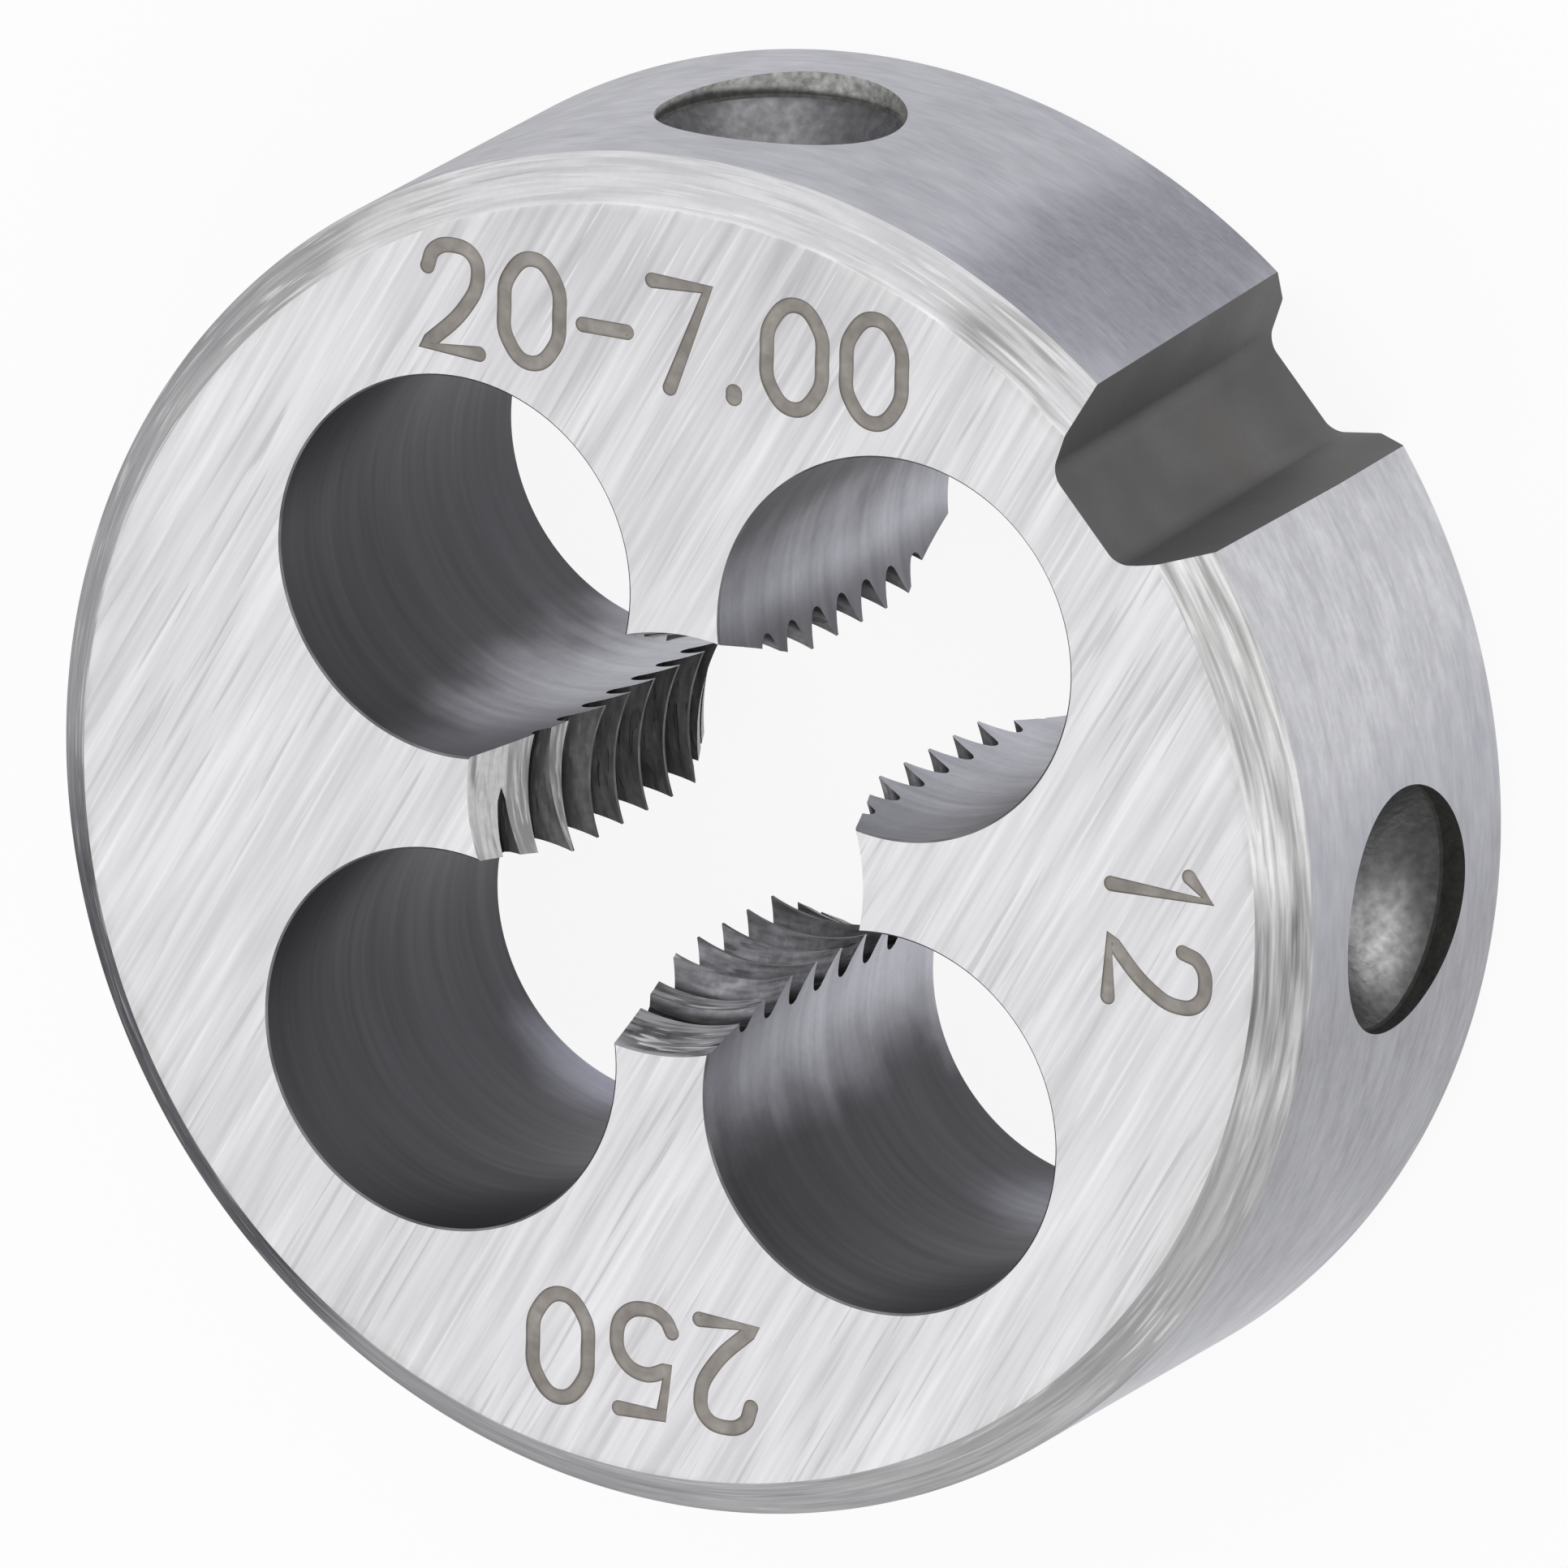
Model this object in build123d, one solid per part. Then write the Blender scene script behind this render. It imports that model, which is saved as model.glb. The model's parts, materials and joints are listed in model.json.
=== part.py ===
from build123d import *
import os
from math import radians, tan

os.makedirs("parts", exist_ok=True)

# A round threading die: a hardened steel disc with a threaded bore that four round flutes open
# into four cutting lands. It lies on its back face, with the marked face up and its axis on Z.

# disc
outer_diameter = 20.0
thickness = 7.0
edge_chamfer = 0.6

# thread, metric fine and right-hand
thread_diameter = 6.0
thread_pitch = 0.75
thread_angle = 60.0
# height of one crest above the back face, at the middle of the land on +X
crest_height = 0.54

# flutes, which also set the width of the cutting lands
land_count = 4
flute_diameter = 5.6
flute_circle_diameter = 9.96

# lead chamfers, where the teeth are cut back so that the rod can enter
front_lead_diameter = 6.3
front_lead_length = 1.95
back_lead_diameter = 6.6
back_lead_length = 1.7

# groove that the holder's screw spreads or seats in
groove_turn = 42.5
groove_depth = 1.2
groove_angle = 60.0
groove_floor_width = 1.6
groove_corner_radius = 0.35

# dimples for the holder's two clamping screws
dimple_turns = (-1.0, 92.0)
dimple_diameter = 3.6
dimple_wall_depth = 0.35
dimple_cone_angle = 90.0

# sizes that follow from the ones above
outer_radius = outer_diameter / 2
thread_flank = tan(radians(thread_angle / 2))
major_radius = thread_diameter / 2
minor_radius = major_radius - 5 / 8 * thread_pitch / 2 / thread_flank
root_half = thread_pitch / 16
crest_half = thread_pitch / 8
land_pitch = 360 / land_count

# how far a cutting tool stands clear of the metal it enters from
clearance = 0.5
bottom = (Align.CENTER, Align.CENTER, Align.MIN)


# The disc with its two chamfered edges
def disc():
    blank = Cylinder(outer_radius, thickness, align=bottom)
    return chamfer(blank.edges().filter_by(GeomType.CIRCLE), edge_chamfer)


# One round flute, drilled beside the bore and breaking into it
def flutes():
    hole = Cylinder(flute_diameter / 2, thickness, align=bottom)
    circle = PolarLocations(flute_circle_diameter / 2, land_count, land_pitch / 2)
    return [place * hole for place in circle]


# The tap that cuts one land: its toothed outline follows the thread through one sector
def land_tap():
    core = minor_radius - 2 * clearance
    below = -2
    above = int(thickness / thread_pitch) + 3
    teeth = []
    for turn in range(below, above):
        crest = crest_height + turn * thread_pitch
        root = crest + thread_pitch / 2
        teeth += [
            (minor_radius, crest - crest_half),
            (minor_radius, crest + crest_half),
            (major_radius, root - root_half),
            (major_radius, root + root_half),
        ]
    outline = [(core, teeth[0][1]), *teeth, (core, teeth[-1][1])]
    comb = Plane.XZ * Polygon(*outline, align=None)
    rise = thread_pitch / land_count
    path = Helix(pitch=thread_pitch, height=rise, radius=minor_radius)
    sector = sweep(comb, path=path, is_frenet=True)
    return Pos(0, 0, -rise / 2) * Rot(0, 0, -land_pitch / 2) * sector


# A cone that widens from the thread's crests to the lead's mouth, pointing down from height 0
def lead_cone(mouth_diameter, length):
    mouth = mouth_diameter / 2
    slope = (mouth - minor_radius) / length
    depth = length + clearance
    return Cone(mouth - slope * depth, mouth, depth, align=(Align.CENTER, Align.CENTER, Align.MAX))


# The groove along the whole edge: a flat floor between two slanted flanks
def groove():
    floor = outer_radius - groove_depth
    top = outer_radius + clearance
    spread = (top - floor) * tan(radians(groove_angle / 2))
    half = groove_floor_width / 2
    outline = Polygon(
        (floor, -half),
        (top, -half - spread),
        (top, half + spread),
        (floor, half),
        align=None,
    )
    corners = outline.vertices().sort_by(Axis.X)[:2]
    return Rot(0, 0, groove_turn) * extrude(fillet(corners, groove_corner_radius), thickness)


# One drilled dimple at mid-thickness: a short round wall above a cone
def dimple(turn):
    radius = dimple_diameter / 2
    depth = radius / tan(radians(dimple_cone_angle / 2))
    wall = Cylinder(radius, dimple_wall_depth + clearance, align=bottom)
    point = Cone(0, radius, depth, align=(Align.CENTER, Align.CENTER, Align.MAX))
    seat = Pos(outer_radius - dimple_wall_depth, 0, thickness / 2) * Rot(0, 90, 0)
    return Rot(0, 0, turn) * seat * (wall + point)


round_die = disc()
round_die -= Cylinder(minor_radius - clearance / 2, thickness, align=bottom)
round_die -= flutes()
for land in range(land_count):
    place = Pos(0, 0, thread_pitch * land / land_count) * Rot(0, 0, land_pitch * land)
    round_die -= place * land_tap()
round_die -= Pos(0, 0, thickness) * lead_cone(front_lead_diameter, front_lead_length)
round_die -= Rot(180, 0, 0) * lead_cone(back_lead_diameter, back_lead_length)
round_die -= groove()
for turn in dimple_turns:
    round_die -= dimple(turn)

export_step(round_die.solid(), "parts/round_die.step")
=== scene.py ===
import bpy
import bmesh
import json
from math import radians, tan
from mathutils import Matrix, Vector

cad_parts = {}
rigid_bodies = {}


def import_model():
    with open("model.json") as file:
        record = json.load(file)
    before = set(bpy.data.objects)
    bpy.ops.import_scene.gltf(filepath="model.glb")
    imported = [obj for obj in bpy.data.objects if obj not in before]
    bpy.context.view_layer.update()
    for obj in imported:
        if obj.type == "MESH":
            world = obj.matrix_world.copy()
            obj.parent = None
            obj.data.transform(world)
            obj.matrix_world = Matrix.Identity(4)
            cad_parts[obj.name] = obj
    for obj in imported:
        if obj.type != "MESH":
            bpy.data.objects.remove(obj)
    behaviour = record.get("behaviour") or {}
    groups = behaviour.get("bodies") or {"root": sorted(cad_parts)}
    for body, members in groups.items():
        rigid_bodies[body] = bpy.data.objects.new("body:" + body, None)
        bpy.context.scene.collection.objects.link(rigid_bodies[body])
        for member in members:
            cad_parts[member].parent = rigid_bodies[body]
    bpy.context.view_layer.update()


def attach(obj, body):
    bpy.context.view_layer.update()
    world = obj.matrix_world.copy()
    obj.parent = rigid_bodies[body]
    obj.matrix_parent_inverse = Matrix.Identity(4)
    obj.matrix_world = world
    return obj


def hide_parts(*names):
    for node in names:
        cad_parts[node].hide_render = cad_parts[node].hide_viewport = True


# A round threading die lying on a pale floor. Shapes are modelled in millimetres in the CAD's
# frame and brought to metres at the end: z runs up the bore, 0 is the back face.

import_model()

millimetre = 0.001  # in metres
mergeDistance = 0.0005  # in mm, the points of a new shape that lie closer become one


# shared modelling steps

def moveAll(bm, x, y, z):
    bmesh.ops.translate(bm, verts=bm.verts, vec=(x, y, z))


def turnAll(bm, angle, axis="Z"):
    bmesh.ops.rotate(bm, verts=bm.verts, cent=(0, 0, 0), matrix=Matrix.Rotation(radians(angle), 3, axis))


def turnOutline(bm, outline, steps, closed=False):
    # turns an outline of (radius, height) points once round Z
    points = [bm.verts.new((radius, 0, height)) for radius, height in outline]
    ends = points[1:] + points[:1] if closed else points[1:]
    edges = [bm.edges.new(pair) for pair in zip(points, ends)]
    bmesh.ops.spin(bm, geom=points + edges, cent=(0, 0, 0), axis=(0, 0, 1), angle=radians(360),
                   steps=steps, use_merge=True)
    bmesh.ops.remove_doubles(bm, verts=bm.verts, dist=mergeDistance)
    bmesh.ops.recalc_face_normals(bm, faces=bm.faces)


def turnSection(bm, outline, sector, steps, rise=0):
    # turns a closed outline of (radius, height) points through a sector with X in its middle, and
    # lifts it by the rise on the way
    section = bm.faces.new([bm.verts.new((radius, 0, height)) for radius, height in outline])
    turnAll(bm, -sector / 2)
    moveAll(bm, 0, 0, -rise / 2)
    bmesh.ops.spin(bm, geom=[section, *section.edges, *section.verts], cent=(0, 0, 0), axis=(0, 0, 1),
                   angle=radians(sector), steps=steps, dvec=(0, 0, rise / steps))
    bmesh.ops.recalc_face_normals(bm, faces=bm.faces)


def paintFaces(bm, finishOf):
    # finishOf names a face's finish from its middle and its normal
    for face in bm.faces:
        face.material_index = finishSlot[finishOf(face.calc_center_median(), face.normal)]


def addPiece(name, bm, collection=None):
    mesh = bpy.data.meshes.new(name)
    bm.to_mesh(mesh)
    bm.free()
    for finish in finishes.values():
        mesh.materials.append(finish)
    piece = bpy.data.objects.new(name, mesh)
    (collection or bpy.context.scene.collection).objects.link(piece)
    return piece


def shapedMesh(piece):
    # a new mesh of the piece as its modifiers or its curve settings shape it
    return bpy.data.meshes.new_from_object(piece.evaluated_get(bpy.context.evaluated_depsgraph_get()))


def bakeModifiers(piece):
    # the modifiers' result becomes the piece's own mesh
    mesh = shapedMesh(piece)
    piece.modifiers.clear()
    piece.data = mesh


# shared shader parts

def addNode(tree, kind, **settings):
    node = tree.nodes.new(kind)
    for name, value in settings.items():
        setattr(node, name, value)
    return node


def mapValue(tree, source, low, high, newLow, newHigh, smooth=False):
    node = addNode(tree, "ShaderNodeMapRange", interpolation_type="SMOOTHSTEP" if smooth else "LINEAR")
    for place, value in enumerate((low, high, newLow, newHigh), 1):
        node.inputs[place].default_value = value
    tree.links.new(source, node.inputs[0])
    return node.outputs[0]


def mathValue(tree, operation, first, second):
    node = addNode(tree, "ShaderNodeMath", operation=operation)
    for place, value in enumerate((first, second)):
        if isinstance(value, (int, float)):
            node.inputs[place].default_value = value
        else:
            tree.links.new(value, node.inputs[place])
    return node.outputs[0]


def mixColours(tree, factor, first, second):
    node = addNode(tree, "ShaderNodeMix", data_type="RGBA")
    for place, value in ((0, factor), (6, first), (7, second)):  # the node's sockets for colours
        if isinstance(value, (int, float)):
            node.inputs[place].default_value = value
        elif isinstance(value, tuple):
            node.inputs[place].default_value = (*value, 1)
        else:
            tree.links.new(value, node.inputs[place])
    return node.outputs[2]


def startGroup(name, vectors, numbers, results):
    # a node group with its inputs, vectors before numbers, and with numbers as its outputs
    group = bpy.data.node_groups.new(name, "ShaderNodeTree")
    for socket in vectors:
        group.interface.new_socket(socket, in_out="INPUT", socket_type="NodeSocketVector")
    for socket in numbers:
        group.interface.new_socket(socket, in_out="INPUT", socket_type="NodeSocketFloat")
    for socket in results:
        group.interface.new_socket(socket, in_out="OUTPUT", socket_type="NodeSocketFloat")
    return group, addNode(group, "NodeGroupInput"), addNode(group, "NodeGroupOutput")


# each layer of streaks: how fine it is along each axis, where in the pattern it starts, its detail, and
# the part of its range that is drawn out from 0 to 1; glints lose glintLoss where scores gather
streakSizes = {
    "roughness": 0.45, "glintLoss": 0.7,
    "fine": {"scale": (1, 1, 1), "offset": (0, 0, 0), "detail": 1.5, "range": (0.32, 0.68), "smooth": False},
    "broad": {"scale": (0.55, 0.3, 0.3), "offset": (13, 7, 3), "detail": 1.5, "range": (0.32, 0.68),
              "smooth": False},
    "patches": {"scale": (0.45, 0.07, 0.07), "offset": (3, 29, 19), "detail": 1, "range": (0.36, 0.62),
                "smooth": True},
    "score": {"scale": (0.9, 1.1, 1.1), "offset": (31, 17, 5), "detail": 1, "range": (0.58, 0.68),
              "smooth": True},
    "glint": {"scale": (1.1, 1.2, 1.2), "offset": (5, 43, 11), "detail": 1, "range": (0.6, 0.7),
              "smooth": True},
}


def makeStreaks(size):
    # strokes of a grinding stone or a turning tool, as long and wide as the input vector is stretched
    group, start, end = startGroup("toolStreaks", ("Vector",), (), ("Tone", "Score", "Glint", "Height"))

    def layer(name):
        own = size[name]
        move = addNode(group, "ShaderNodeVectorMath", operation="MULTIPLY_ADD")
        move.inputs[1].default_value = own["scale"]
        move.inputs[2].default_value = own["offset"]
        group.links.new(start.outputs["Vector"], move.inputs[0])
        noise = addNode(group, "ShaderNodeTexNoise")
        noise.inputs["Scale"].default_value = 1
        noise.inputs["Detail"].default_value = own["detail"]
        noise.inputs["Roughness"].default_value = size["roughness"]
        group.links.new(move.outputs[0], noise.inputs["Vector"])
        return mapValue(group, noise.outputs[0], *own["range"], 0, 1, own["smooth"])

    halfFine = mathValue(group, "MULTIPLY", layer("fine"), 0.5)
    halfBroad = mathValue(group, "MULTIPLY", layer("broad"), 0.5)
    tone = mathValue(group, "ADD", halfFine, halfBroad)
    patches = layer("patches")
    score = mathValue(group, "MULTIPLY", layer("score"), patches)
    # glints: bright scratch lines, laid into the colour as painted highlights
    clear = mathValue(group, "SUBTRACT", 1, mathValue(group, "MULTIPLY", patches, size["glintLoss"]))
    glint = mathValue(group, "MULTIPLY", layer("glint"), clear)
    height = mathValue(group, "SUBTRACT", tone, score)
    for name, value in (("Tone", tone), ("Score", score), ("Glint", glint), ("Height", height)):
        group.links.new(value, end.inputs[name])
    return group


mottleSizes = {
    "Clouds": {"scale": 620, "detail": 4, "range": (0.32, 0.68)},
    "Speckle": {"scale": 8500, "detail": 2, "range": (0.3, 0.7)},
}


def makeMottle(size):
    # soft clouds of stain and a fine speckle, the same in every direction
    group, start, end = startGroup("steelMottle", ("Vector",), (), tuple(size))
    for name, own in size.items():
        noise = addNode(group, "ShaderNodeTexNoise")
        noise.inputs["Scale"].default_value = own["scale"]
        noise.inputs["Detail"].default_value = own["detail"]
        group.links.new(start.outputs["Vector"], noise.inputs["Vector"])
        group.links.new(mapValue(group, noise.outputs[0], *own["range"], 0, 1), end.inputs[name])
    return group


def makePaintedLightZone():
    # how far a place has come from the start distance, 0, to the end distance, 1, around a centre:
    # in mm, with X, Y and Z weighed by along, and with a border that wanders with the clouds; finishes
    # use it to paint light and shade by place
    group, start, end = startGroup(
        "paintedLightZone", ("Vector", "Centre", "Along"), ("Start", "End", "Wander", "Clouds"), ("Amount",))
    measured = addNode(group, "ShaderNodeVectorMath", operation="SCALE")
    measured.inputs["Scale"].default_value = 1 / millimetre
    group.links.new(start.outputs["Vector"], measured.inputs[0])
    away = addNode(group, "ShaderNodeVectorMath", operation="SUBTRACT")
    group.links.new(measured.outputs[0], away.inputs[0])
    group.links.new(start.outputs["Centre"], away.inputs[1])
    weighed = addNode(group, "ShaderNodeVectorMath", operation="MULTIPLY")
    group.links.new(away.outputs[0], weighed.inputs[0])
    group.links.new(start.outputs["Along"], weighed.inputs[1])
    reach = addNode(group, "ShaderNodeVectorMath", operation="LENGTH")
    group.links.new(weighed.outputs[0], reach.inputs[0])
    sway = mathValue(group, "SUBTRACT", start.outputs["Clouds"], 0.5)
    shift = mathValue(group, "MULTIPLY", sway, start.outputs["Wander"])
    ramp = addNode(group, "ShaderNodeMapRange", interpolation_type="SMOOTHSTEP")
    group.links.new(mathValue(group, "ADD", reach.outputs["Value"], shift), ramp.inputs["Value"])
    group.links.new(start.outputs["Start"], ramp.inputs["From Min"])
    group.links.new(start.outputs["End"], ramp.inputs["From Max"])
    group.links.new(ramp.outputs[0], end.inputs["Amount"])
    return group


streaks = makeStreaks(streakSizes)
mottle = makeMottle(mottleSizes)
zone = makePaintedLightZone()

# what a finish or a zone has where it gives no value of its own
plainSteel = {
    "metallic": 1, "ior": 2.2, "edgeTint": (1, 1, 1), "turn": 0, "contrast": 1, "stain": 0.2, "score": 0.3,
    "glint": 0.2, "speckle": 0.1, "bump": 0.3, "bumpDepth": 0.000006, "grit": 0.2, "zones": (),
}
plainZone = {"along": (1, 1, 1), "wander": 0.3, "share": 1}


def makeSteel(name, own):
    # one finish: streaks from dark to light, stained in clouds, then its zones of painted light and shade,
    # which turn it darker or lighter by place, then scores, glints and specks, in the dark or the light tone
    # unless they have their own; the glints are painted highlights
    look = {**plainSteel, **own}
    material = bpy.data.materials.new(name)
    material.use_nodes = True
    tree = material.node_tree
    shader = tree.nodes["Principled BSDF"]
    shader.inputs["Metallic"].default_value = look["metallic"]
    shader.inputs["IOR"].default_value = look["ior"]
    shader.inputs["Specular Tint"].default_value = (*look["edgeTint"], 1)
    place = addNode(tree, "ShaderNodeTexCoord").outputs["Object"]

    lay = addNode(tree, "ShaderNodeMapping", vector_type="TEXTURE")
    lay.inputs["Rotation"].default_value = (0, 0, radians(look["turn"]))
    lay.inputs["Scale"].default_value = [millimetre * size for size in look["grain"]]
    tree.links.new(place, lay.inputs["Vector"])
    marks = addNode(tree, "ShaderNodeGroup", node_tree=streaks)
    tree.links.new(lay.outputs[0], marks.inputs["Vector"])
    stain = addNode(tree, "ShaderNodeGroup", node_tree=mottle)
    tree.links.new(place, stain.inputs["Vector"])

    def cover(under, mask, share, over):
        # lays a colour over what is there, as far as the mask and the share let it
        return mixColours(tree, mathValue(tree, "MULTIPLY", mask, share), under, over)

    spread = 0.5 / look["contrast"]
    tone = mapValue(tree, marks.outputs["Tone"], 0.5 - spread, 0.5 + spread, 0, 1)
    colour = mixColours(tree, tone, look["dark"], look["light"])
    colour = cover(colour, stain.outputs["Clouds"], look["stain"], look.get("stainColour", look["dark"]))
    for patch in look["zones"]:
        border = {**plainZone, **patch}
        area = addNode(tree, "ShaderNodeGroup", node_tree=zone)
        tree.links.new(place, area.inputs["Vector"])
        tree.links.new(stain.outputs["Clouds"], area.inputs["Clouds"])
        for socket in ("Centre", "Along", "Start", "End", "Wander"):
            area.inputs[socket].default_value = border[socket.lower()]
        inner = mixColours(tree, tone, border["dark"], border["light"])
        colour = cover(colour, area.outputs["Amount"], border["share"], inner)
    colour = cover(colour, marks.outputs["Score"], look["score"], look.get("scoreColour", look["dark"]))
    colour = cover(colour, marks.outputs["Glint"], look["glint"], look.get("glintColour", look["light"]))
    colour = cover(colour, stain.outputs["Speckle"], look["speckle"], look.get("speckleColour", look["dark"]))
    tree.links.new(colour, shader.inputs["Base Color"])

    smooth, rough = look["roughness"]
    tree.links.new(mapValue(tree, marks.outputs["Tone"], 0, 1, rough, smooth), shader.inputs["Roughness"])
    bump = addNode(tree, "ShaderNodeBump")
    bump.inputs["Strength"].default_value = look["bump"]
    bump.inputs["Distance"].default_value = look["bumpDepth"]
    grit = mathValue(tree, "MULTIPLY", stain.outputs["Speckle"], look["grit"])
    tree.links.new(mathValue(tree, "ADD", marks.outputs["Height"], grit), bump.inputs["Height"])
    tree.links.new(bump.outputs[0], shader.inputs["Normal"])
    return material


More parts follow.
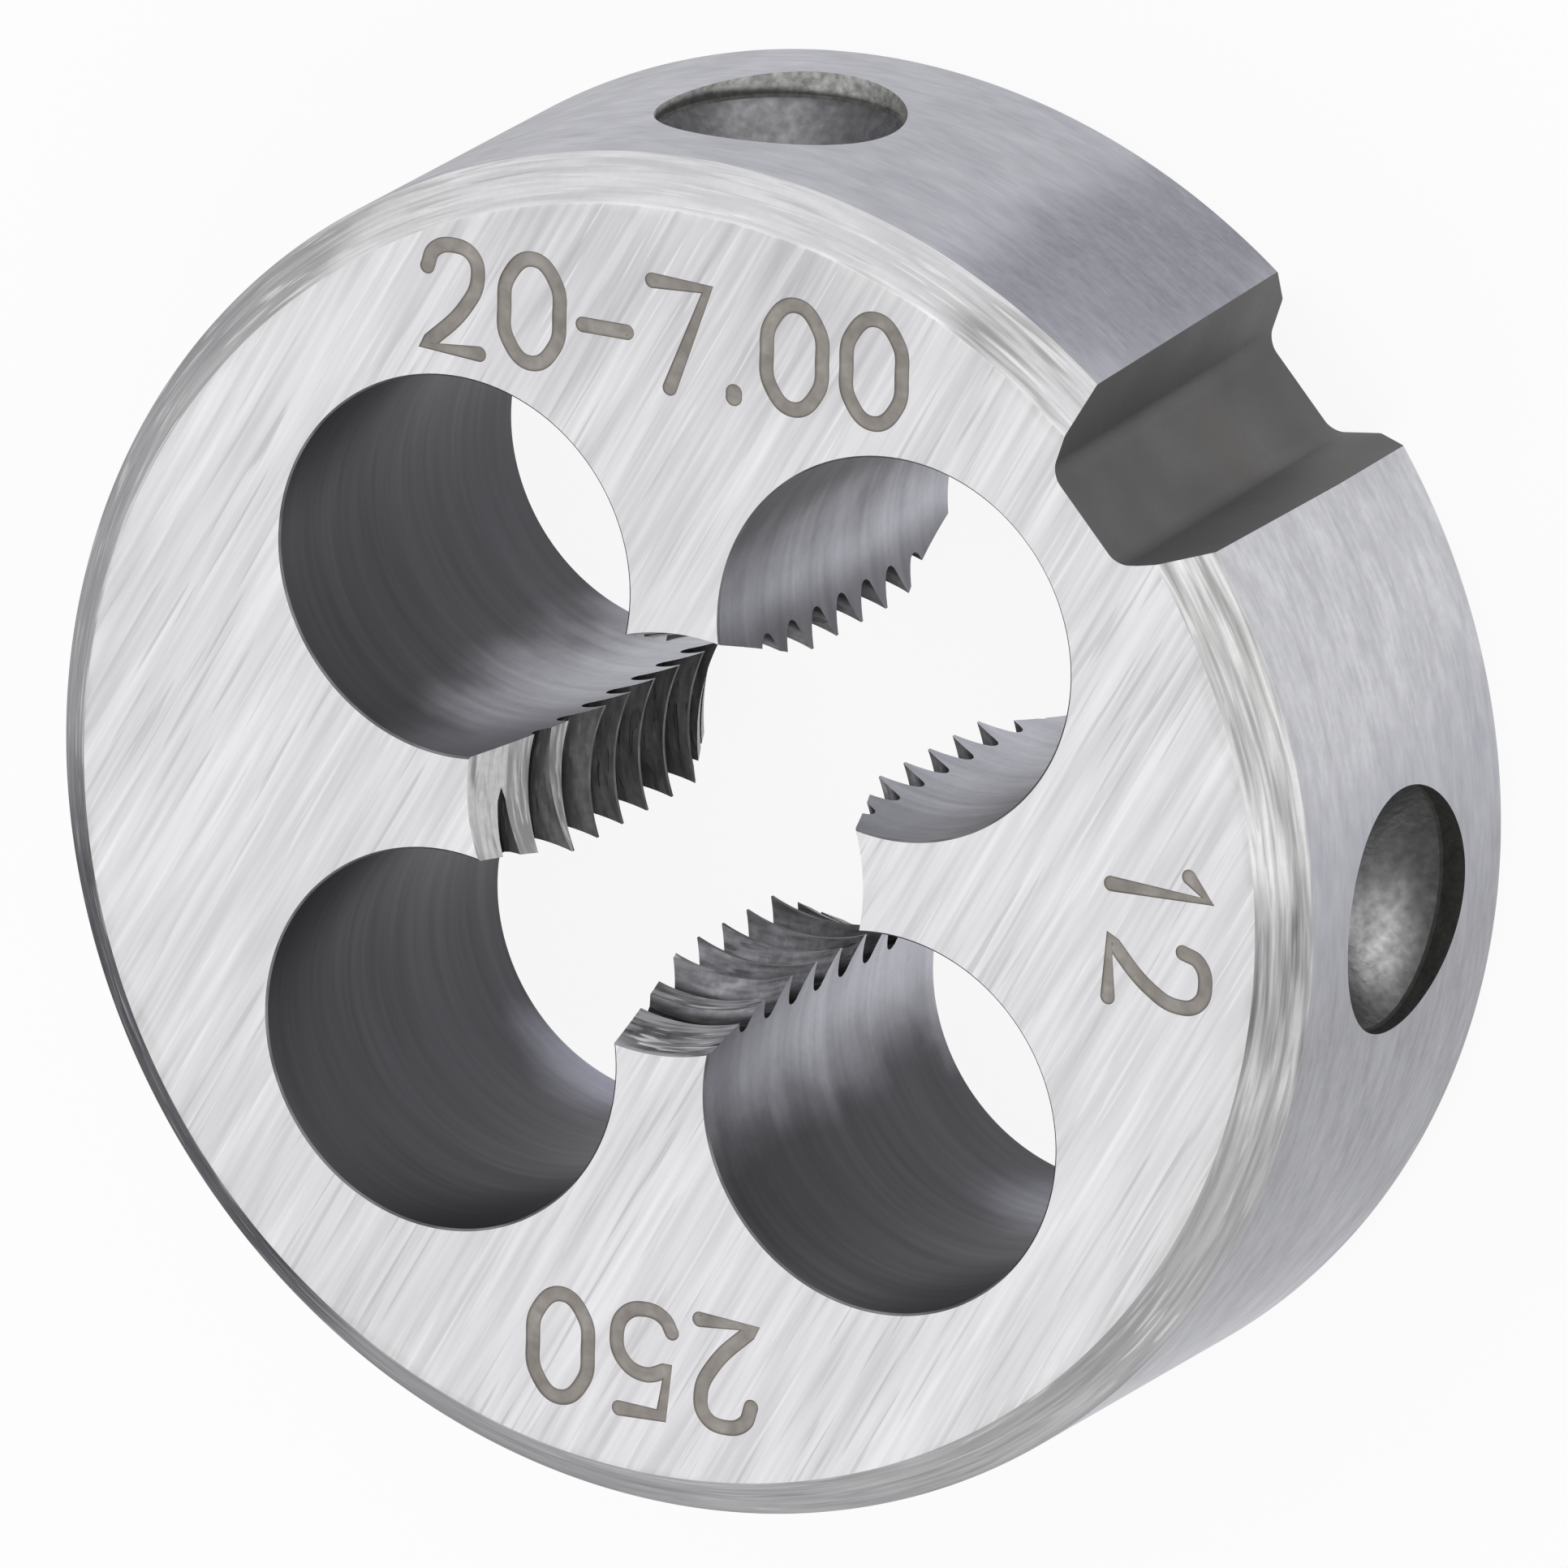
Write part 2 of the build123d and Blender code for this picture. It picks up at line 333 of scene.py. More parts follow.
# grain is the size of one streak in mm along X, Y and Z, after the turn about Z; a zone's tones come in
# at its start distance and are full past its end distance, so inwards where the end is the smaller one
steelLooks = {
    "face": {
        "grain": (2.4, 0.1, 4), "turn": 61.5, "dark": (0.63, 0.625, 0.645), "light": (0.875, 0.87, 0.895),
        "score": 0.5, "scoreColour": (0.45, 0.45, 0.47), "glint": 0.4, "glintColour": (0.96, 0.96, 0.97),
        "stain": 0.1, "speckle": 0.04, "roughness": (0.32, 0.42), "bump": 0.1,
        "zones": [
            # painted shade: darker at the edge on +Y
            {"centre": (-0.5, 9.6, 7), "along": (0.5, 1, 1), "start": 4.5, "end": 0.8, "wander": 1,
             "share": 0.85, "dark": (0.46, 0.455, 0.475), "light": (0.74, 0.735, 0.755)},
            # painted shade: a touch darker all along the chamfer, as on a softly rounded edge
            {"centre": (0, 0, 0), "along": (1, 1, 0), "start": 9.25, "end": 9.42,
             "dark": (0.56, 0.555, 0.56), "light": (0.8, 0.8, 0.81)},
        ],
    },
    "chamfer": {
        "grain": (1.3, 1.3, 0.05), "contrast": 1.4, "edgeTint": (0.45, 0.45, 0.47),
        "dark": (0.38, 0.377, 0.375), "light": (1, 1, 1),
        "score": 0.35, "scoreColour": (0.22, 0.22, 0.22), "glint": 0.45, "glintColour": (1, 1, 1),
        "stain": 0.2, "stainColour": (0.52, 0.514, 0.505), "roughness": (0.3, 0.42), "bump": 0.15,
        "zones": [
            # calm and even streaks by the dimple on +Y, in a painted light tone
            {"centre": (1.6, 9.6, 7), "along": (0.6, 1, 1), "start": 6, "end": 3, "wander": 1,
             "share": 0.93, "dark": (0.64, 0.635, 0.65), "light": (0.77, 0.765, 0.785)},
            # painted shade: darker on the side away from the groove
            {"centre": (5.2, 7.4, 0), "along": (1, 1, 0), "start": 9.6, "end": 11.8, "wander": 1.2,
             "dark": (0.36, 0.357, 0.365), "light": (0.52, 0.517, 0.525)},
            # painted shade: a dark arc between -X and -Y
            {"centre": (-8.2, -5, 7), "start": 5.5, "end": 3, "wander": 0.8, "share": 0.9,
             "dark": (0.045, 0.045, 0.05), "light": (0.125, 0.125, 0.135)},
            # painted highlight by the dimple on +X, bright and strongly scored
            {"centre": (9, 2.2, 7.2), "along": (1, 1, 3), "start": 2.8, "end": 1.2, "wander": 0.6,
             "share": 0.75, "dark": (0.45, 0.443, 0.45), "light": (1, 0.99, 1)},
            # painted shade right above that dimple
            {"centre": (9.75, -0.5, 6.75), "start": 2, "end": 0.8, "wander": 0.4, "share": 0.9,
             "dark": (0.16, 0.157, 0.16), "light": (0.58, 0.573, 0.58)},
            # painted shade beside the groove
            {"centre": (5.2, 8.3, 6.9), "start": 1.5, "end": 0.4, "wander": 0.4, "share": 0.7,
             "dark": (0.25, 0.246, 0.25), "light": (0.8, 0.79, 0.8)},
        ],
    },
    "rim": {
        # its darker, bluish tone is a painted reflection of the darker surroundings the rim faces
        "grain": (0.45, 0.45, 0.1), "dark": (0.4, 0.402, 0.445), "light": (0.49, 0.492, 0.54),
        "score": 0.12, "scoreColour": (0.3, 0.3, 0.34), "glint": 0.12, "glintColour": (0.62, 0.62, 0.67),
        "stain": 0.2, "stainColour": (0.39, 0.392, 0.43), "speckle": 0.25,
        "roughness": (0.34, 0.44), "bump": 0.12,
        "zones": [
            # painted light between the groove and the dimple on +X
            {"centre": (9.2, 4.4, 3.5), "along": (1, 1, 0.4), "start": 3.6, "end": 1, "wander": 0.8,
             "dark": (0.5, 0.502, 0.53), "light": (0.68, 0.682, 0.71)},
            # painted shade on the groove's other side
            {"centre": (5.3, 8.6, 2.5), "along": (1, 1, 0.3), "start": 2.2, "end": 0.8, "wander": 0.5,
             "dark": (0.23, 0.235, 0.268), "light": (0.29, 0.295, 0.332)},
            # painted shade past the dimple on +X
            {"centre": (9.3, -3.6, 3.5), "along": (1, 1, 0.4), "start": 5.5, "end": 2, "wander": 0.8,
             "dark": (0.28, 0.281, 0.3), "light": (0.36, 0.361, 0.385)},
            # painted shade on the far side
            {"centre": (10, 4, 0), "along": (1, 1, 0), "start": 13, "end": 18, "wander": 0.8,
             "dark": (0.125, 0.127, 0.14), "light": (0.19, 0.193, 0.21)},
        ],
    },
    "mouth": {
        "grain": (0.5, 0.5, 0.5), "dark": (0.1, 0.1, 0.1), "light": (0.3, 0.3, 0.31),
        "roughness": (0.35, 0.5),
    },
    "flute": {
        # the walls are dark partly as their drilled finish and partly as painted shade inside the holes
        "grain": (2.2, 2.2, 0.14), "dark": (0.064, 0.063, 0.071), "light": (0.083, 0.082, 0.092),
        "score": 0.03, "glint": 0.02, "stain": 0.25, "speckle": 0.08,
        "roughness": (0.4, 0.46), "bump": 0.05,
        "zones": [
            # lighter towards the bore, partly the ground relief's own tone and partly painted light
            {"centre": (0, 0, 0), "along": (1, 1, 0), "start": 5.2, "end": 3.3, "wander": 0.6,
             "dark": (0.455, 0.455, 0.51), "light": (0.555, 0.555, 0.615)},
            # painted shade by the teeth of the +Y land
            {"centre": (1.1, 2.75, 0), "along": (1, 1, 0), "start": 0.95, "end": 0.25, "wander": 0.15,
             "share": 0.9, "dark": (0.13, 0.13, 0.147), "light": (0.18, 0.18, 0.2)},
            # painted reflections: light patches low in the two flutes beside the -Y land
            {"centre": (-4.43, -6.17, 0), "start": 1.8, "end": 0.2, "wander": 0.4, "share": 0.7,
             "dark": (0.4, 0.4, 0.5), "light": (0.5, 0.5, 0.6)},
            {"centre": (3.57, -6.32, 1.5), "start": 1.6, "end": 0.2, "wander": 0.4, "share": 0.45,
             "dark": (0.3, 0.3, 0.38), "light": (0.4, 0.4, 0.48)},
        ],
    },
    "crest": {
        "grain": (0.35, 0.35, 0.1), "dark": (0.05, 0.05, 0.05), "light": (0.2, 0.2, 0.205),
        "score": 0.5, "scoreColour": (0.03, 0.03, 0.03), "glint": 0.2, "glintColour": (0.4, 0.4, 0.4),
        "stain": 0.4, "roughness": (0.4, 0.55), "metallic": 0.8,
        "zones": [
            # painted shade: darker on the -Y land
            {"centre": (0, -3.1, 4), "along": (1, 1, 0.5), "start": 3.2, "end": 1.6, "share": 0.7,
             "dark": (0.025, 0.025, 0.025), "light": (0.12, 0.12, 0.125)},
        ],
    },
    "flank": {
        "grain": (0.5, 0.5, 0.045), "contrast": 1.1,
        "dark": (0.048, 0.048, 0.05), "light": (0.11, 0.11, 0.115),
        "score": 0.4, "scoreColour": (0.025, 0.025, 0.025), "glint": 0.25, "glintColour": (0.26, 0.26, 0.27),
        "stain": 0.3, "stainColour": (0.05, 0.048, 0.045), "speckle": 0.35,
        "roughness": (0.4, 0.55), "bump": 0.8, "grit": 0.5,
        "zones": [
            # painted light on the first teeth of the -X land
            {"centre": (-3, 0, 7), "start": 3.6, "end": 1.3, "wander": 0.2,
             "dark": (0.095, 0.095, 0.095), "light": (0.2, 0.2, 0.2)},
            # painted light on the teeth of the -Y land
            {"centre": (0, -3.1, 7), "along": (1, 1, 0.5), "start": 3.8, "end": 1,
             "dark": (0.13, 0.13, 0.142), "light": (0.42, 0.42, 0.45)},
            # painted light on the tooth ends at the flute between +X and +Y
            {"centre": (2.4, 2.4, 0), "along": (1, 1, 0), "start": 2, "end": 1.6, "wander": 0.1,
             "dark": (0.36, 0.36, 0.375), "light": (0.5, 0.5, 0.52)},
            # painted shade in the roots
            {"centre": (0, 0, 0), "along": (1, 1, 0), "start": 2.76, "end": 2.92, "wander": 0.02,
             "share": 0.9, "dark": (0.022, 0.022, 0.022), "light": (0.045, 0.045, 0.047)},
        ],
    },
    "lead": {
        "grain": (0.7, 0.7, 0.08), "contrast": 2.2, "dark": (0.4, 0.4, 0.4), "light": (1, 1, 1),
        "score": 0.8, "scoreColour": (0.12, 0.12, 0.12), "glint": 0.9, "glintColour": (1, 1, 1),
        "stain": 0.25, "stainColour": (0.62, 0.62, 0.61), "speckle": 0.25,
        "roughness": (0.4, 0.6), "bump": 1, "grit": 0.5, "metallic": 0.1, "ior": 1.45,
        "zones": [
            # painted shade on the lands other than -X
            {"centre": (-3.1, 0, 6), "along": (1, 1, 0), "start": 1.6, "end": 3.6, "wander": 0.4,
             "dark": (0.09, 0.09, 0.098), "light": (0.5, 0.5, 0.53)},
            # painted shade on one strip of the -X land, a little darker
            {"centre": (-3.1, 0, 5.25), "start": 1, "end": 0.5, "wander": 0.2, "share": 0.8,
             "dark": (0.3, 0.3, 0.308), "light": (0.85, 0.85, 0.86)},
        ],
    },
    "groove": {
        "grain": (1.5, 1.5, 1.5), "dark": (0.145, 0.144, 0.148), "light": (0.196, 0.194, 0.2),
        "score": 0.1, "glint": 0.08, "stain": 0.6, "stainColour": (0.142, 0.133, 0.122), "speckle": 0.4,
        "roughness": (0.6, 0.7), "bump": 0.4, "grit": 0.6,
    },
    "dimple": {
        "grain": (0.15, 0.15, 0.15), "contrast": 0.8, "dark": (0.5, 0.5, 0.505), "light": (1, 1, 1),
        "score": 0.05, "glint": 0.03, "stain": 0.1, "speckle": 0.3, "speckleColour": (0.05, 0.05, 0.053),
        "roughness": (0.36, 0.5), "bump": 0.6, "grit": 0.9,
        "zones": [
            # on +X: painted shade around a painted bright patch, and darker painted shade low down
            {"centre": (9.3, -1.1, 2.1), "along": (0.6, 1, 0.7), "start": -0.3, "end": 1.3, "wander": 0.25,
             "dark": (0.11, 0.11, 0.112), "light": (0.165, 0.165, 0.168)},
            {"centre": (10, -0.17, 4.1), "along": (0, 1, 1), "start": 1.7, "end": 2.3, "wander": 0.1,
             "share": 0.9, "dark": (0.05, 0.05, 0.05), "light": (0.08, 0.08, 0.08)},
            # on +Y: painted shade, with a painted brighter patch, two darker places and a dark border of
            # painted shade
            {"centre": (-0.4, 9.2, 3.5), "start": 3, "end": 1.9,
             "dark": (0.095, 0.095, 0.102), "light": (0.165, 0.165, 0.175)},
            {"centre": (-1.4, 9.4, 2.4), "start": 1.6, "end": 0.3, "wander": 0.2, "share": 0.8,
             "dark": (0.25, 0.25, 0.26), "light": (0.45, 0.45, 0.47)},
            {"centre": (1.1, 9.5, 2.2), "start": 1.9, "end": 0.6, "wander": 0.15, "share": 0.9,
             "dark": (0.105, 0.105, 0.115), "light": (0.155, 0.155, 0.168)},
            {"centre": (-2.2, 9.6, 3.3), "start": 1.1, "end": 0.4, "wander": 0.2, "share": 0.9,
             "dark": (0.08, 0.08, 0.085), "light": (0.14, 0.14, 0.147)},
            {"centre": (0, 0, 0), "along": (0, 1, 0), "start": 9.48, "end": 9.63, "wander": 0.06,
             "share": 0.6, "dark": (0.05, 0.05, 0.05), "light": (0.1, 0.1, 0.1)},
        ],
    },
    "dimpleWall": {
        "grain": (0.09, 0.09, 0.09), "contrast": 0.9, "edgeTint": (0.3, 0.3, 0.3),
        "dark": (0.45, 0.45, 0.44), "light": (1, 1, 0.98), "score": 0.2, "scoreColour": (0.06, 0.06, 0.06),
        "glint": 0, "metallic": 0.2, "ior": 1.4, "stain": 0.2,
        "speckle": 0.4, "speckleColour": (0.05, 0.05, 0.048),
        "roughness": (0.45, 0.6), "bump": 0.6, "grit": 0.9,
        "zones": [
            # painted shade: nearly black on +X
            {"centre": (10, 0, 3.5), "start": 5, "end": 3,
             "dark": (0.01, 0.009, 0.008), "light": (0.022, 0.02, 0.018)},
            # on +Y, painted shade towards the groove
            {"centre": (1.4, 9.8, 3), "start": 2.4, "end": 0.6, "share": 0.8,
             "dark": (0.09, 0.09, 0.083), "light": (0.34, 0.34, 0.32)},
            # painted shade at its foot on +Y, and everywhere on +X
            {"centre": (0, 0, 0), "along": (0, 1, 0), "start": 9.76, "end": 9.64, "wander": 0.06,
             "share": 0.9, "dark": (0.03, 0.03, 0.03), "light": (0.07, 0.068, 0.063)},
        ],
    },
    "numeral": {
        "grain": (0.25, 0.25, 0.25), "dark": (0.13, 0.115, 0.1), "light": (0.2, 0.185, 0.165),
        "score": 0.2, "stain": 0.4, "stainColour": (0.2, 0.165, 0.13), "speckle": 0.25,
        "roughness": (0.5, 0.65), "metallic": 0.7,
        "zones": [
            # lighter along the bottom of the cut, so that the stroke edges keep the darker tone as painted
            # shade of the cut's walls
            {"centre": (0, 0, 7), "along": (0, 0, 1), "start": 0.008, "end": 0.024, "wander": 0.004,
             "dark": (0.25, 0.228, 0.205), "light": (0.36, 0.335, 0.31)},
        ],
    },
}
finishes = {name: makeSteel("steel" + name[0].upper() + name[1:], look) for name, look in steelLooks.items()}
finishSlot = {name: place for place, name in enumerate(finishes)}
print("finishes ready:", len(finishes))


# the blank: a disc with chamfered edges, bored a little smaller than the thread's crests; a face is
# flat or part of a chamfer where its normal leans up or down by more than these amounts
disc = {"radius": 10.0, "thickness": 7.0, "chamfer": 0.6, "bore": 2.38, "steps": 360,
        "faceEdgeSoftness": 0.04, "rimEdgeSoftness": 0.025, "edgeSteps": 3, "edgeSearch": 0.001,
        "flatLean": 0.95, "chamferLean": 0.3}


def makeBlank(size):
    bm = bmesh.new()
    top, radius, cut = size["thickness"], size["radius"], size["chamfer"]
    outline = [(size["bore"], 0), (radius - cut, 0), (radius, cut), (radius, top - cut),
               (radius - cut, top), (size["bore"], top)]
    turnOutline(bm, outline, size["steps"], closed=True)
    for reach, softness in ((radius - cut, size["faceEdgeSoftness"]), (radius, size["rimEdgeSoftness"])):
        ring = [e for e in bm.edges if abs(e.verts[0].co.z - e.verts[1].co.z) < size["edgeSearch"]
                and all(abs(v.co.xy.length - reach) < size["edgeSearch"] for v in e.verts)]
        bmesh.ops.bevel(bm, geom=ring, offset=softness, offset_type="OFFSET", segments=size["edgeSteps"],
                        profile=0.5, affect="EDGES", material=-1)

    def finishOf(middle, normal):
        if abs(normal.z) > size["flatLean"]:
            return "face"
        return "chamfer" if abs(normal.z) > size["chamferLean"] else "rim"

    bm.normal_update()
    paintFaces(bm, finishOf)
    return addPiece("dieBody", bm)


# cutters, kept together so that one Boolean takes them all out of the blank

cutters = bpy.data.collections.new("cutters")
bpy.context.scene.collection.children.link(cutters)
clearance = 0.5  # how far a cutter stands clear of the metal it enters from
landCount = 4  # lands and flutes, the first land on +X and the first flute after it
landTurn = 360 / landCount

# the flutes: plain holes, with a mouth that is a little flared; it is told from the wall by its lean
flute = {"diameter": 5.6, "circle": 9.96, "mouth": 0.03, "steps": 144, "mouthLean": 0.2}


def makeFluteCutter(size, turn):
    bm = bmesh.new()
    radius, top, mouth = size["diameter"] / 2, disc["thickness"], size["mouth"]
    flare = mouth + clearance
    outline = [(0, -clearance), (radius + flare, -clearance), (radius, mouth), (radius, top - mouth),
               (radius + flare, top + clearance), (0, top + clearance)]
    turnOutline(bm, outline, size["steps"])
    paintFaces(bm, lambda middle, normal: "flute" if abs(normal.z) < size["mouthLean"] else "mouth")
    moveAll(bm, size["circle"] / 2, 0, 0)
    turnAll(bm, turn)
    addPiece("fluteCutter", bm, cutters)


# the thread: form is one tooth and gap, as (radius, height over the crest's middle) points; reach and
# lift are how much further in and higher the teeth of each land stand; crestBand is as far out from
# the crest as a face is still painted as one
thread = {"pitch": 0.75, "crestHeight": 0.54, "core": 1.6, "sector": 64, "steps": 36, "turns": range(-2, 12),
          "form": ((2.594, -0.032), (2.594, 0.032), (2.76, 0.126), (2.9, 0.206), (2.98, 0.262), (3.02, 0.335),
                   (3.02, 0.415), (2.98, 0.488), (2.9, 0.544), (2.76, 0.624)),
          "reach": (0, 0, 0.035, 0.05), "lift": (0.08, 0.08, -0.16, 0), "crestBand": 0.002}


def makeLandTap(size, land):
    bm = bmesh.new()
    crest = size["form"][0][0]
    root = max(radius for radius, rise in size["form"])
    stretch = 1 + size["reach"][land] / (root - crest)
    teeth = [(root - (root - radius) * stretch, size["crestHeight"] + turn * size["pitch"] + rise)
             for turn in size["turns"] for radius, rise in size["form"]]
    outline = [(size["core"], teeth[0][1]), *teeth, (size["core"], teeth[-1][1])]
    turnSection(bm, outline, size["sector"], size["steps"], size["pitch"] * size["sector"] / 360)
    crestEnd = teeth[0][0] + size["crestBand"]
    paintFaces(bm, lambda middle, normal: "crest" if middle.xy.length < crestEnd else "flank")
    moveAll(bm, 0, 0, size["pitch"] * land / landCount + size["lift"][land])
    turnAll(bm, landTurn * land)
    addPiece("landTap", bm, cutters)


# the two lead chamfers, a cone for each land: relief moves its axis towards the heel, so that the surface
# backs off behind the cutting edge, and set moves it outwards, as the real ones are not quite central
leads = {"front": {"mouth": 6.3, "length": 1.95, "set": (0, 0, 0.065, 0)},
         "back": {"mouth": 6.6, "length": 1.7, "set": (0.1, 0.05, -0.2, 0)},
         "relief": (0.2, 0.2, 0.38, 0.2), "core": 1.0, "sector": 84, "steps": 56}


def makeLeadCutter(size, land, end):
    bm = bmesh.new()
    mouth, length = size[end]["mouth"] / 2, size[end]["length"]
    slope = (mouth - thread["form"][0][0]) / length
    depth = length + clearance
    outline = [(size["core"], -depth), (mouth - slope * depth, -depth),
               (mouth + slope * clearance, clearance), (size["core"], clearance)]
    turnSection(bm, outline, size["sector"], size["steps"])
    paintFaces(bm, lambda middle, normal: "lead")
    moveAll(bm, size[end]["set"][land], -size["relief"][land], 0)
    if end == "front":
        moveAll(bm, 0, 0, disc["thickness"])
    else:
        turnAll(bm, 180, "X")
    turnAll(bm, landTurn * land)
    addPiece("leadCutter", bm, cutters)


# the groove for the middle screw; towards the back its floor and one side move off by backSpread
groove = {"turn": 42.5, "depth": 1.2, "angle": 60, "floorWidth": 1.6, "cornerRadius": 0.35,
          "cornerSteps": 8, "backSpread": (-0.1, 0.22, 0)}


def makeGrooveCutter(size):
    bm = bmesh.new()
    floor, top = disc["radius"] - size["depth"], disc["radius"] + clearance
    half = size["floorWidth"] / 2
    spread = (top - floor) * tan(radians(size["angle"] / 2))
    outline = ((floor, -half), (top, -half - spread), (top, half + spread), (floor, half))
    section = bm.faces.new([bm.verts.new((x, y, -clearance)) for x, y in outline])
    run = bmesh.ops.extrude_face_region(bm, geom=[section])
    farEnd = [v for v in run["geom"] if isinstance(v, bmesh.types.BMVert)]
    bmesh.ops.translate(bm, verts=farEnd, vec=(0, 0, disc["thickness"] + 2 * clearance))
    corners = [e for e in bm.edges if abs(e.verts[0].co.z - e.verts[1].co.z) > clearance
               and e.verts[0].co.x < disc["radius"]]
    cornerCut = size["cornerRadius"] * tan(radians((90 - size["angle"] / 2) / 2))
    bmesh.ops.bevel(bm, geom=corners, offset=cornerCut, offset_type="OFFSET", segments=size["cornerSteps"],
                    profile=0.5, affect="EDGES", material=-1)
    moved = [v for v in bm.verts if v.co.z < 0 and (v.co.y > 0 or v.co.x < floor + size["cornerRadius"])]
    bmesh.ops.translate(bm, verts=moved, vec=size["backSpread"])
    bmesh.ops.triangulate(bm, faces=bm.faces)  # the sides that moved are no longer flat
    bmesh.ops.recalc_face_normals(bm, faces=bm.faces)
    paintFaces(bm, lambda middle, normal: "groove")
    turnAll(bm, size["turn"])
    addPiece("grooveCutter", bm, cutters)


# the drilled seats for the clamping screws, as (radius, height over the rim) points: a cone with a blunt
# point, a rounded corner and a short wall, which is painted as the wall from wallFrom up
dimple = {"turns": (-1.0, 92.0), "wallFrom": -0.38, "steps": 120,
          "outline": ((0, -2.0), (0.22, -1.93), (0.5, -1.68), (1.77, -0.395), (1.8, -0.35), (1.8, 0.5),
                      (0, 0.5))}


def makeDimpleCutter(size, turn):
    bm = bmesh.new()
    turnOutline(bm, size["outline"], size["steps"])
    paintFaces(bm, lambda middle, normal: "dimpleWall" if middle.z > size["wallFrom"] else "dimple")
    turnAll(bm, 90, "Y")
    moveAll(bm, disc["radius"], 0, disc["thickness"] / 2)
    turnAll(bm, turn)
    addPiece("dimpleCutter", bm, cutters)


dieBody = makeBlank(disc)
for land in range(landCount):
    makeFluteCutter(flute, landTurn * (land + 0.5))
    makeLandTap(thread, land)
    makeLeadCutter(leads, land, "front")
    makeLeadCutter(leads, land, "back")
makeGrooveCutter(groove)
for turn in dimple["turns"]:
    makeDimpleCutter(dimple, turn)
cut = dieBody.modifiers.new("cut", "BOOLEAN")
cut.operation = "DIFFERENCE"
cut.operand_type = "COLLECTION"
cut.solver = "EXACT"
cut.material_mode = "INDEX"
cut.collection = cutters
bakeModifiers(dieBody)
print("die cut from its blank:", len(dieBody.data.polygons), "faces")
for cutter in list(cutters.objects):
    bpy.data.objects.remove(cutter)


# plain numerals, one stroke each: (across, up) points, and a third value of 1 where the stroke turns sharply
strokes = {
    "0": ((0.5, 1), (0.93, 0.8), (1, 0.5), (0.93, 0.2), (0.5, 0), (0.07, 0.2), (0, 0.5), (0.07, 0.8)),
    "1": ((0.2, 0.8, 1), (0.55, 1, 1), (0.55, 0, 1)),
    "2": ((0.03, 0.76), (0.15, 0.93), (0.5, 1), (0.85, 0.93), (0.95, 0.72), (0.75, 0.44), (0.02, 0, 1),
          (1, 0, 1)),
    "5": ((0.93, 1, 1), (0.16, 1, 1), (0.06, 0.55, 1), (0.5, 0.63), (0.88, 0.52), (1, 0.3), (0.86, 0.08),
          (0.48, 0), (0.14, 0.06), (0, 0.18)),
    "7": ((0, 1, 1), (1, 1, 1), (0.36, 0, 1)),
    "-": ((0.1, 0.46, 1), (0.9, 0.46, 1)),
    ".": ((0.5, 0.02, 1), (0.5, 0.06, 1)),
}
# each line has its figures, where their middles lie along it, its own middle on the face and its turn;
# endBall and dotBall are the balls at a stroke's ends and in a full stop, as shares of the stroke's radius
numerals = {
    "width": 0.88, "height": 1.54, "depth": 0.03, "strokeRadius": 0.115, "roundSteps": 4, "curveSteps": 10,
    "endBall": 1.01, "dotBall": 1.15, "ballSteps": 20,
    "lines": (
        {"figures": "20-7.00", "places": (-3.72, -2.45, -1.28, -0.1, 0.8, 1.75, 3.02),
         "middle": (0.05, 7.53), "turn": 0.5},
        {"figures": "12", "places": (-0.62, 0.66), "middle": (7.85, 0.1), "turn": -90},
        {"figures": "250", "places": (-1.3, 0.02, 1.36), "middle": (-0.1, -7.72), "turn": 180.5},
    ),
}


def makeStroke(figure, size):
    points = strokes[figure]
    curve = bpy.data.curves.new("stroke", "CURVE")
    curve.dimensions = "3D"
    curve.bevel_depth = size["strokeRadius"]
    curve.bevel_resolution = size["roundSteps"]
    curve.resolution_u = size["curveSteps"]
    curve.use_fill_caps = True
    spline = curve.splines.new("BEZIER")
    spline.bezier_points.add(len(points) - 1)
    spline.use_cyclic_u = figure == "0"
    for knot, point in zip(spline.bezier_points, points):
        knot.co = ((point[0] - 0.5) * size["width"], (point[1] - 0.5) * size["height"], 0)
        knot.handle_left_type = knot.handle_right_type = "VECTOR" if len(point) > 2 else "AUTO"
    return curve


def addFigure(bm, figure, size, placed):
    # a figure is its stroke with a ball at each end, a nought needs no balls and a full stop no stroke
    curve = makeStroke(figure, size)
    ends = [Matrix.Translation(knot.co) for knot in curve.splines[0].bezier_points]
    if figure != ".":
        holder = bpy.data.objects.new("stroke", curve)
        bpy.context.scene.collection.objects.link(holder)
        mesh = shapedMesh(holder)
        bpy.data.objects.remove(holder)
        mesh.transform(placed)
        bm.from_mesh(mesh)
    if figure != "0":
        ball = size["strokeRadius"] * size["dotBall" if figure == "." else "endBall"]
        for end in (ends[0], ends[-1]):
            bmesh.ops.create_uvsphere(bm, u_segments=size["ballSteps"], v_segments=size["ballSteps"] // 2,
                                      radius=ball, matrix=placed @ end)


def makeNumerals(size):
    bm = bmesh.new()
    flatten = Matrix.Diagonal((1, 1, size["depth"] / size["strokeRadius"], 1))
    for line in size["lines"]:
        middle = Matrix.Translation((*line["middle"], disc["thickness"]))
        turned = middle @ Matrix.Rotation(radians(line["turn"]), 4, "Z")
        for figure, along in zip(line["figures"], line["places"]):
            addFigure(bm, figure, size, turned @ Matrix.Translation((along, 0, 0)) @ flatten)
    bmesh.ops.remove_doubles(bm, verts=bm.verts, dist=mergeDistance)
    bmesh.ops.recalc_face_normals(bm, faces=bm.faces)
    paintFaces(bm, lambda middle, normal: "numeral")
    return addPiece("numeralCutter", bm)


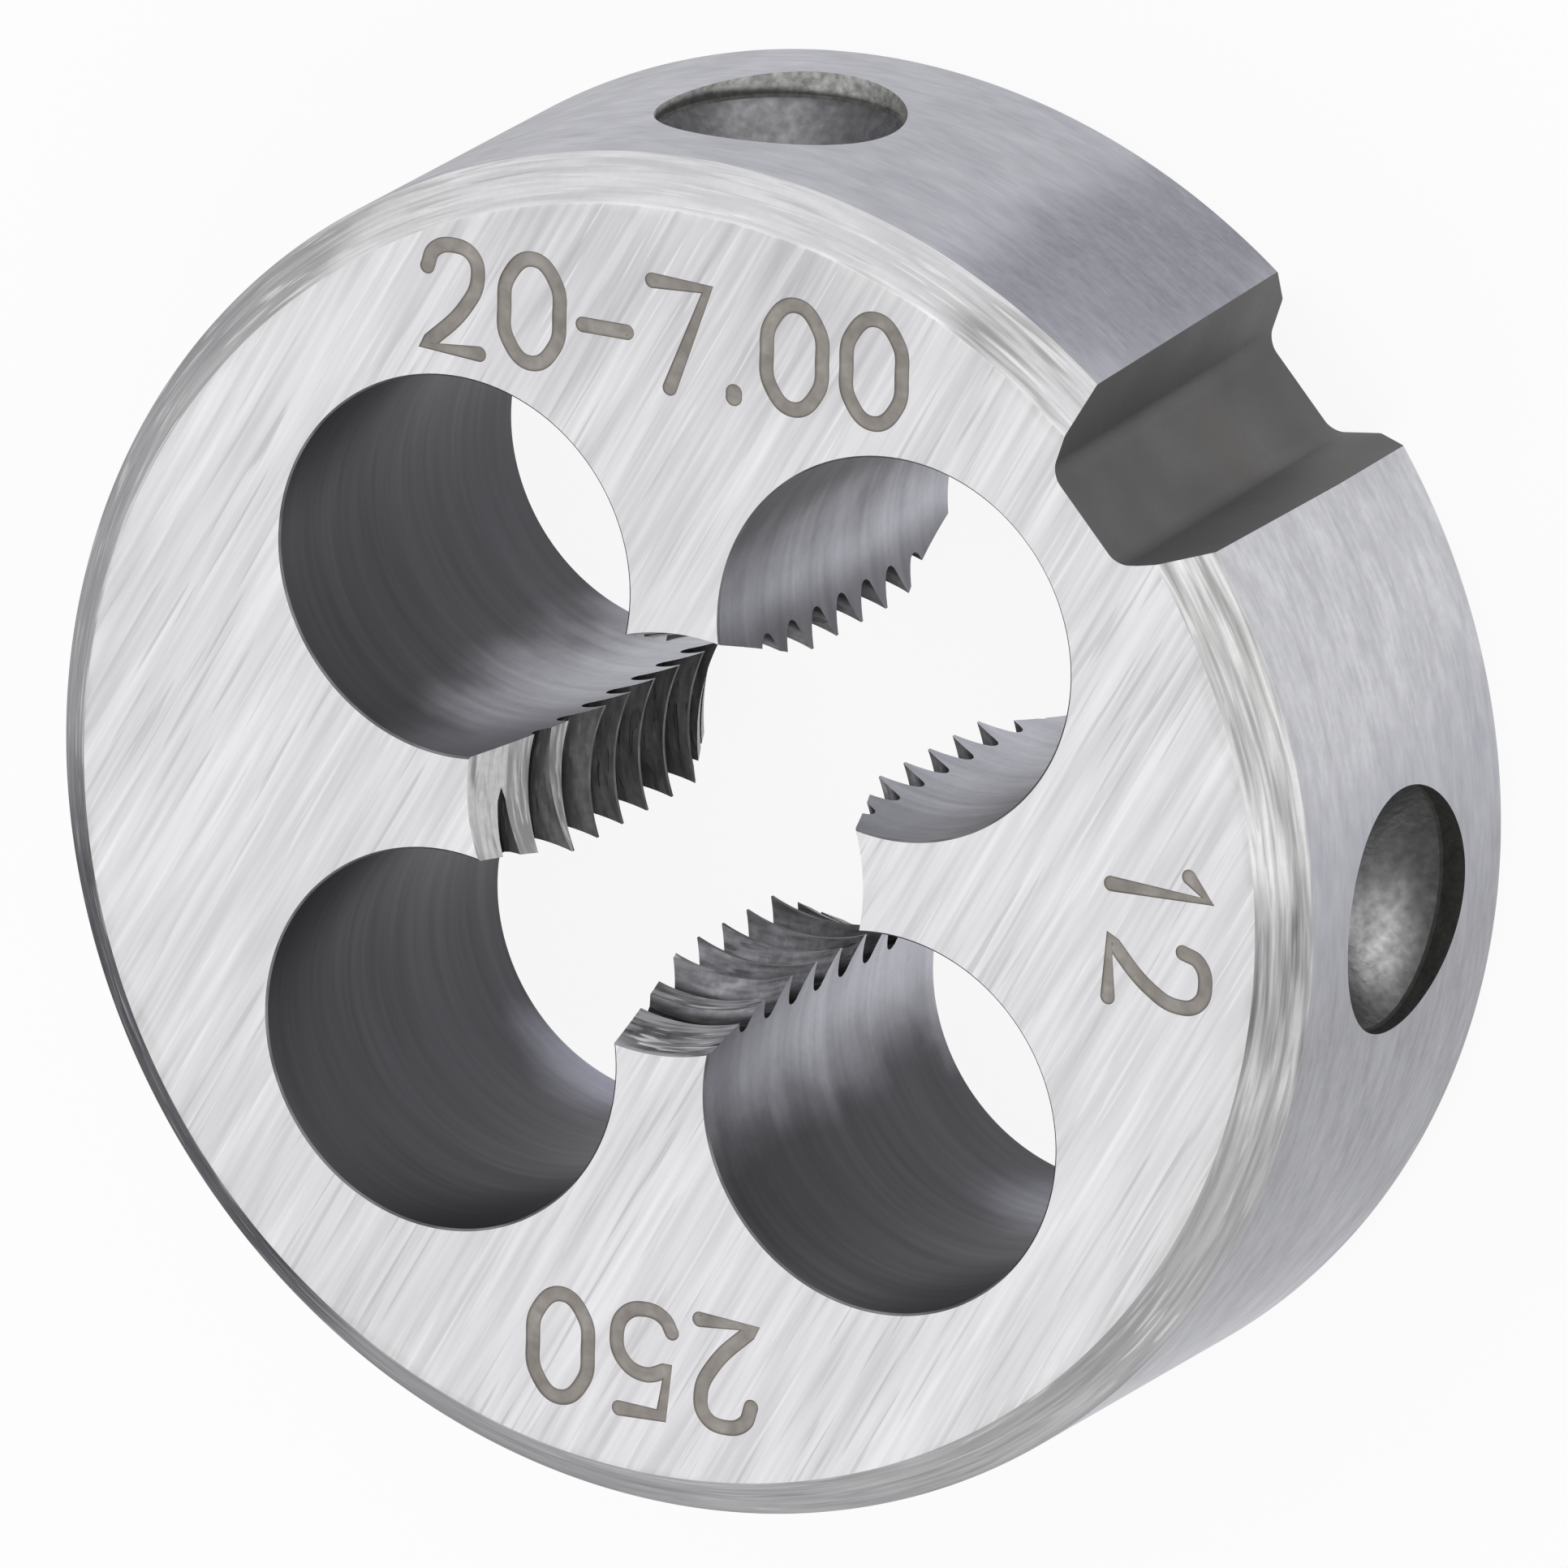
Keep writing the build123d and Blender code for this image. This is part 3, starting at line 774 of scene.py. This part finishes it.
numeralCutter = makeNumerals(numerals)
engrave = dieBody.modifiers.new("engrave", "BOOLEAN")
engrave.operation = "DIFFERENCE"
engrave.solver = "EXACT"
engrave.material_mode = "INDEX"
engrave.use_self = True
engrave.object = numeralCutter
bakeModifiers(dieBody)
bpy.data.objects.remove(numeralCutter)
print("numerals engraved:", len(dieBody.data.polygons), "faces")


# the last cleaning joins only what is in one place to within lastMerge mm, and an edge is sharp from
# sharpAngle degrees
finishing = {"lastMerge": 0.00002, "sharpAngle": 24}

bm = bmesh.new()
bm.from_mesh(dieBody.data)
bmesh.ops.remove_doubles(bm, verts=bm.verts, dist=finishing["lastMerge"])
bmesh.ops.dissolve_degenerate(bm, edges=bm.edges, dist=finishing["lastMerge"])
bmesh.ops.scale(bm, verts=bm.verts, vec=(millimetre, millimetre, millimetre))
openEdges = sum(1 for edge in bm.edges if not edge.is_manifold)
bm.to_mesh(dieBody.data)
bm.free()
dieBody.data.shade_smooth()
dieBody.data.set_sharp_from_angle(angle=radians(finishing["sharpAngle"]))
shading = dieBody.modifiers.new("shading", "WEIGHTED_NORMAL")
shading.keep_sharp = True
dieBody.data.update()
print("die finished:", len(dieBody.data.polygons), "faces, open edges", openEdges)

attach(dieBody, "root")
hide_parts("round_die")


# the floor is pale, and nearly white to the camera and to reflections, with the die's shadow left on it;
# the world lights the die, and the camera sees a plain pale backdrop in its place
studio = {"floorSize": 1.2, "floorDrop": 0.00001, "floorColour": (0.86, 0.86, 0.86), "floorRoughness": 0.9,
          "floorShow": 0.9, "worldColour": (1, 1, 1), "worldStrength": 0.95}


def makeFloor(size):
    bm = bmesh.new()
    bmesh.ops.create_grid(bm, x_segments=4, y_segments=4, size=size["floorSize"] / 2)
    moveAll(bm, 0, 0, -size["floorDrop"])
    mesh = bpy.data.meshes.new("floor")
    bm.to_mesh(mesh)
    bm.free()
    material = bpy.data.materials.new("paleFloor")
    material.use_nodes = True
    tree = material.node_tree
    paper = tree.nodes["Principled BSDF"]
    paper.inputs["Base Color"].default_value = (*size["floorColour"], 1)
    paper.inputs["Roughness"].default_value = size["floorRoughness"]
    paper.inputs["Specular IOR Level"].default_value = 0
    glow = addNode(tree, "ShaderNodeEmission")
    rays = addNode(tree, "ShaderNodeLightPath")
    seen = rays.outputs["Is Camera Ray"]
    for ray in ("Is Glossy Ray", "Is Transmission Ray"):
        seen = mathValue(tree, "MAXIMUM", seen, rays.outputs[ray])
    mix = addNode(tree, "ShaderNodeMixShader")
    tree.links.new(mathValue(tree, "MULTIPLY", seen, size["floorShow"]), mix.inputs[0])
    tree.links.new(paper.outputs[0], mix.inputs[1])
    tree.links.new(glow.outputs[0], mix.inputs[2])
    tree.links.new(mix.outputs[0], tree.nodes["Material Output"].inputs["Surface"])
    mesh.materials.append(material)
    floor = bpy.data.objects.new("floor", mesh)
    bpy.context.scene.collection.objects.link(floor)


def makeWorld(size):
    world = bpy.data.worlds.new("studioWorld")
    bpy.context.scene.world = world
    world.use_nodes = True
    tree = world.node_tree
    room = tree.nodes["Background"]
    room.inputs["Color"].default_value = (*size["worldColour"], 1)
    room.inputs["Strength"].default_value = size["worldStrength"]
    backdrop = addNode(tree, "ShaderNodeBackground")
    rays = addNode(tree, "ShaderNodeLightPath")
    mix = addNode(tree, "ShaderNodeMixShader")
    tree.links.new(rays.outputs["Is Camera Ray"], mix.inputs[0])
    tree.links.new(room.outputs[0], mix.inputs[1])
    tree.links.new(backdrop.outputs[0], mix.inputs[2])
    tree.links.new(mix.outputs[0], tree.nodes["World Output"].inputs["Surface"])


# in metres and watts
lamps = {
    "keyLamp": {"place": (-0.04, 0.14, 0.34), "target": (0, 0, 0.004), "size": 0.4, "power": 0.12},
}


def makeLamp(name, size):
    light = bpy.data.lights.new(name, "AREA")
    light.shape = "DISK"
    light.size = size["size"]
    light.energy = size["power"]
    lamp = bpy.data.objects.new(name, light)
    lamp.location = size["place"]
    aim = Vector(size["target"]) - Vector(size["place"])
    lamp.rotation_euler = aim.to_track_quat("-Z", "Y").to_euler()
    bpy.context.scene.collection.objects.link(lamp)


makeFloor(studio)
makeWorld(studio)
for name, size in lamps.items():
    makeLamp(name, size)

# place and clip in metres, turn in degrees about X, Y and Z, lens and sensor in mm
view = {"place": (0.39521, 0.2769, 0.76896), "turn": (-16.9523, 27.8268, 1.8779), "lens": 1462.4,
        "sensor": 36, "clip": (0.05, 50)}
cameraData = bpy.data.cameras.new("camera")
cameraData.sensor_width = view["sensor"]
cameraData.lens = view["lens"]
cameraData.clip_start, cameraData.clip_end = view["clip"]
camera = bpy.data.objects.new("camera", cameraData)
camera.location = view["place"]
camera.rotation_euler = [radians(angle) for angle in view["turn"]]
bpy.context.scene.collection.objects.link(camera)
bpy.context.scene.camera = camera
bpy.context.scene.view_settings.view_transform = "Standard"
print("studio ready")
